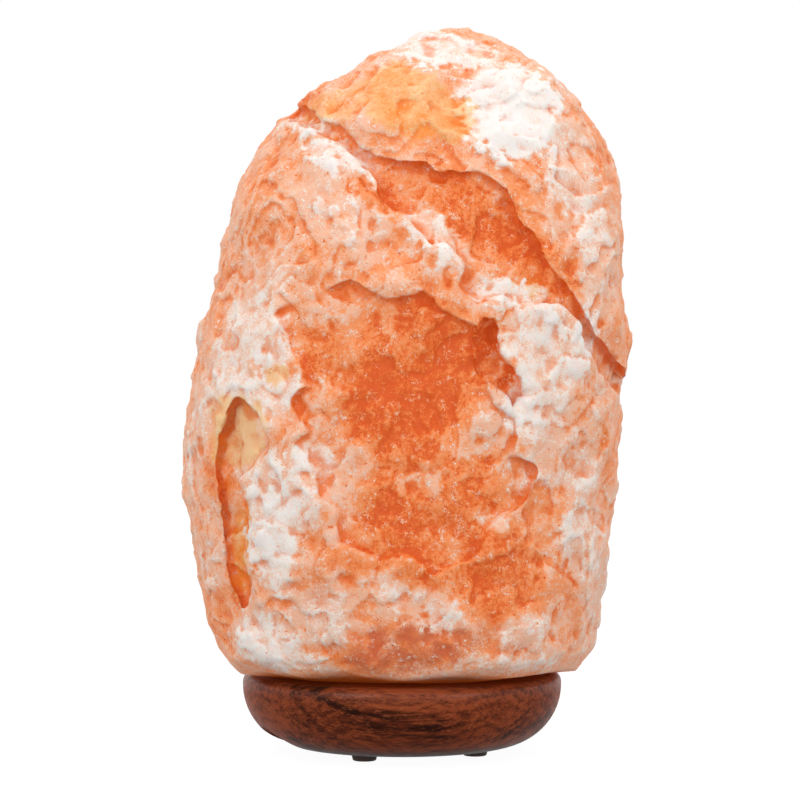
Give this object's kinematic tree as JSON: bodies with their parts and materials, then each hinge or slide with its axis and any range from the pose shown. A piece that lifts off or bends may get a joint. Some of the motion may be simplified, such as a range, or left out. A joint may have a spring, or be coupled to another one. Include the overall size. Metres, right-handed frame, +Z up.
{
  "type": "salt crystal lamp",
  "caption": "Hollowed block of pink rock salt screwed to a round turned wooden base, lit from inside by a candle lamp on a spring-clip holder that pulls out from below.",
  "frame": {"origin": "under the middle of the base, on the surface that the lamp stands on", "axes": "+Z up, +X to the right of the side that is usually seen, which is -Y"},
  "size_m": [0.1527, 0.1315, 0.2485],
  "materials": {
    "rock_salt": "rough granular rock salt",
    "turned_wood": "satin varnish",
    "foot_rubber": "matte",
    "bush_rubber": "matte",
    "zinc_plate": "bright zinc",
    "plug_nylon": "matte",
    "spring_steel": "satin",
    "holder_resin": "semi-gloss",
    "holder_brass": "satin",
    "lamp_glass": "clear",
    "lamp_cap_metal": "bright nickel",
    "cap_glass": "gloss",
    "solder": "dull",
    "wire_metal": "satin",
    "filament_metal": "dull"
  },
  "bodies": {
    "lamp_body": {"salt_crystal": "rock_salt", "wood_base": "turned_wood", "rubber_feet": "foot_rubber", "foot_pins": "zinc_plate", "base_screws": "zinc_plate", "screw_plugs": "plug_nylon"},
    "light_unit": {"clip_plate": "zinc_plate", "clip_feet": "spring_steel", "clip_rivets": "zinc_plate", "lampholder_body": "holder_resin", "lampholder_cap": "holder_resin", "cord_grommet": "bush_rubber", "screw_shell": "holder_brass", "centre_contact": "holder_brass", "shell_terminal": "holder_brass", "terminal_screws": "holder_brass"},
    "clip_1": {"spring_clip_1": "spring_steel"},
    "clip_2": {"spring_clip_2": "spring_steel"},
    "clip_3": {"spring_clip_3": "spring_steel"},
    "bulb": {"bulb_glass": "lamp_glass", "bulb_screw_cap": "lamp_cap_metal", "bulb_cap_insulator": "cap_glass", "bulb_tip_contact": "solder", "bulb_stem": "lamp_glass", "bulb_lead_wires": "wire_metal", "bulb_filament": "filament_metal"}
  },
  "joints": [
    {"name": "light_unit_slide", "type": "slide", "parent": "lamp_body", "child": "light_unit", "axis": [0, 0, -1], "range_m": [0, 0.084]},
    {"name": "clip_flex_1", "type": "hinge", "parent": "light_unit", "child": "clip_1", "pos_m": [0, 0.015, 0.01775], "axis": [1, 0, 0], "range_deg": [0, 7], "stiffness_Nm_per_rad": 0.4},
    {"name": "clip_flex_2", "type": "hinge", "parent": "light_unit", "child": "clip_2", "pos_m": [-0.01299, -0.0075, 0.01775], "axis": [-0.5, 0.866, 0], "range_deg": [0, 7], "stiffness_Nm_per_rad": 0.4},
    {"name": "clip_flex_3", "type": "hinge", "parent": "light_unit", "child": "clip_3", "pos_m": [0.01299, -0.0075, 0.01775], "axis": [-0.5, -0.866, 0], "range_deg": [0, 7], "stiffness_Nm_per_rad": 0.4},
    {"name": "bulb_turn", "type": "hinge", "parent": "light_unit", "child": "bulb", "pos_m": [0, 0, 0.03], "axis": [0, 0, 1], "range_deg": [0, 1440]}
  ]
}
